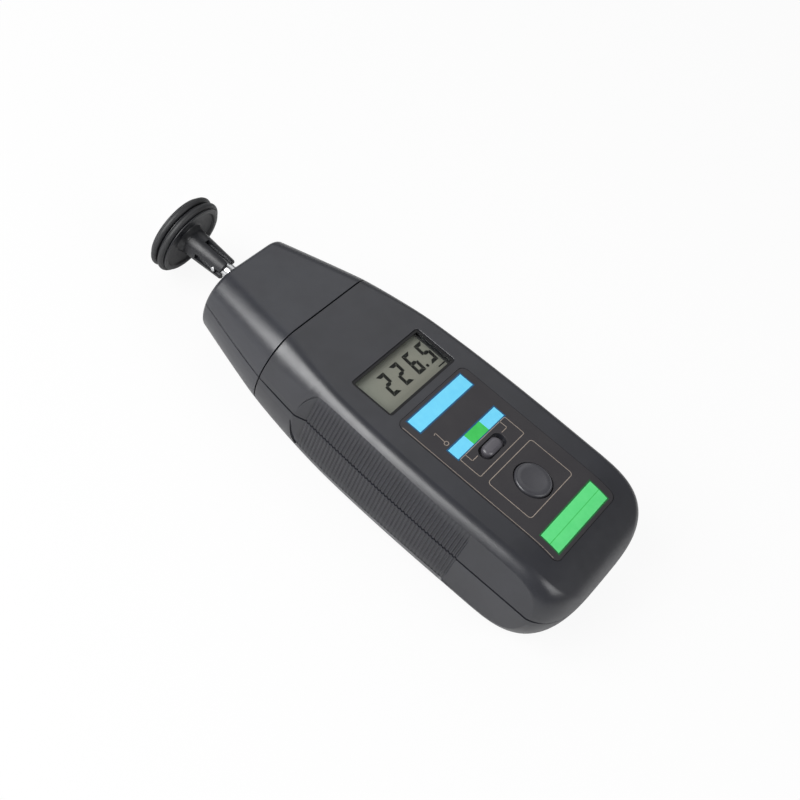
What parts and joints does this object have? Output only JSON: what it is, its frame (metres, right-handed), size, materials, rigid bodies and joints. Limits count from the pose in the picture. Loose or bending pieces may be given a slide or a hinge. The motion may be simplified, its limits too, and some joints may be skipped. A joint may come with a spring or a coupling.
{
  "type": "contact tachometer",
  "caption": "Hand-held digital contact tachometer with a surface speed wheel on its spindle, display, memory button, slide switch, side button and four AA cells.",
  "frame": {"origin": "on the flat back face, on the centre line, in front of the battery cover", "axes": "+X to the right-hand side of the display, +Y along the spindle from the tail towards the wheel, +Z from the back out of the display face"},
  "size_m": [0.0726, 0.2076, 0.0399],
  "materials": {
    "casing_charcoal": "satin fine texture",
    "nose_grey": "satin",
    "panel_film": "printed matt film",
    "clear_pane": "clear gloss",
    "display_grey": "satin liquid crystal glass",
    "black_plastic": "matt",
    "rubber_black": "matt",
    "board_green": "solder mask",
    "component_mix": "moulded cases",
    "button_grey": "satin",
    "measure_red": "satin",
    "switch_ivory": "satin",
    "wheel_black": "satin",
    "bright_steel": "ground bright",
    "screw_steel": "blackened zinc",
    "cast_alloy": "satin",
    "cell_jacket": "gloss sleeve",
    "plated_steel": "nickel plate",
    "flat_cable": "satin"
  },
  "bodies": {
    "casing": {"upper_shell": "casing_charcoal", "lower_shell": "casing_charcoal", "nose_upper": "nose_grey", "nose_lower": "nose_grey", "face_overlay": "panel_film", "display_window": "clear_pane", "lcd_module": "display_grey", "lcd_holder": "black_plastic", "lcd_connectors": "rubber_black", "main_board": "board_green", "microcontroller": "black_plastic", "board_components": "component_mix", "memory_switch": "black_plastic", "function_switch": "screw_steel", "measure_switch": "black_plastic", "front_bearing": "bright_steel", "rear_bearing": "bright_steel", "bearing_housing": "cast_alloy", "photo_interrupter": "black_plastic", "sensor_board": "board_green", "sensor_lead": "flat_cable", "cell_1": "cell_jacket", "cell_2": "cell_jacket", "cell_3": "cell_jacket", "cell_4": "cell_jacket", "contact_springs": "plated_steel", "contact_plates": "plated_steel", "case_screws": "screw_steel", "nose_screws": "screw_steel", "board_screws": "screw_steel", "housing_screws": "screw_steel"},
    "spindle": {"spindle_shaft": "bright_steel", "spindle_pin": "bright_steel", "retaining_ring": "screw_steel", "encoder_disc": "black_plastic"},
    "wheel": {"measuring_wheel": "wheel_black", "wheel_rings": "rubber_black"},
    "memory_key": {"memory_button": "button_grey"},
    "memory_contact": {"memory_plunger": "measure_red"},
    "function_slider": {"function_knob": "button_grey"},
    "measure_key": {"measure_button": "measure_red"},
    "measure_contact": {"measure_plunger": "switch_ivory"},
    "cover": {"battery_cover": "casing_charcoal"}
  },
  "joints": [
    {"name": "spindle_spin", "type": "hinge", "parent": "casing", "child": "spindle", "pos_m": [0, 0.105, 0.0194], "axis": [0, 1, 0], "continuous": true},
    {"name": "wheel_pull_off", "type": "slide", "parent": "spindle", "child": "wheel", "axis": [0, 1, 0], "range_m": [0, 0.02]},
    {"name": "memory_press", "type": "slide", "parent": "casing", "child": "memory_key", "axis": [0, 0, -1], "range_m": [0, 0.0006], "stiffness_N_per_m": 1500, "springref_m": -0.0005},
    {"name": "memory_contact_press", "type": "slide", "parent": "casing", "child": "memory_contact", "axis": [0, 0, -1], "range_m": [0, 0.0006]},
    {"name": "function_slide", "type": "slide", "parent": "casing", "child": "function_slider", "axis": [1, 0, 0], "range_m": [-0.0022, 0.0022]},
    {"name": "measure_press", "type": "slide", "parent": "casing", "child": "measure_key", "axis": [-1, 0, 0], "range_m": [0, 0.0008], "stiffness_N_per_m": 1500, "springref_m": -0.0005},
    {"name": "measure_contact_press", "type": "slide", "parent": "casing", "child": "measure_contact", "axis": [-1, 0, 0], "range_m": [0, 0.0008]},
    {"name": "battery_cover_slide", "type": "slide", "parent": "casing", "child": "cover", "axis": [0, -1, 0], "range_m": [0, 0.05]}
  ],
  "couplings": [
    {"joint": "memory_contact_press", "follows": "memory_press", "ratio": 1},
    {"joint": "measure_contact_press", "follows": "measure_press", "ratio": 1}
  ]
}
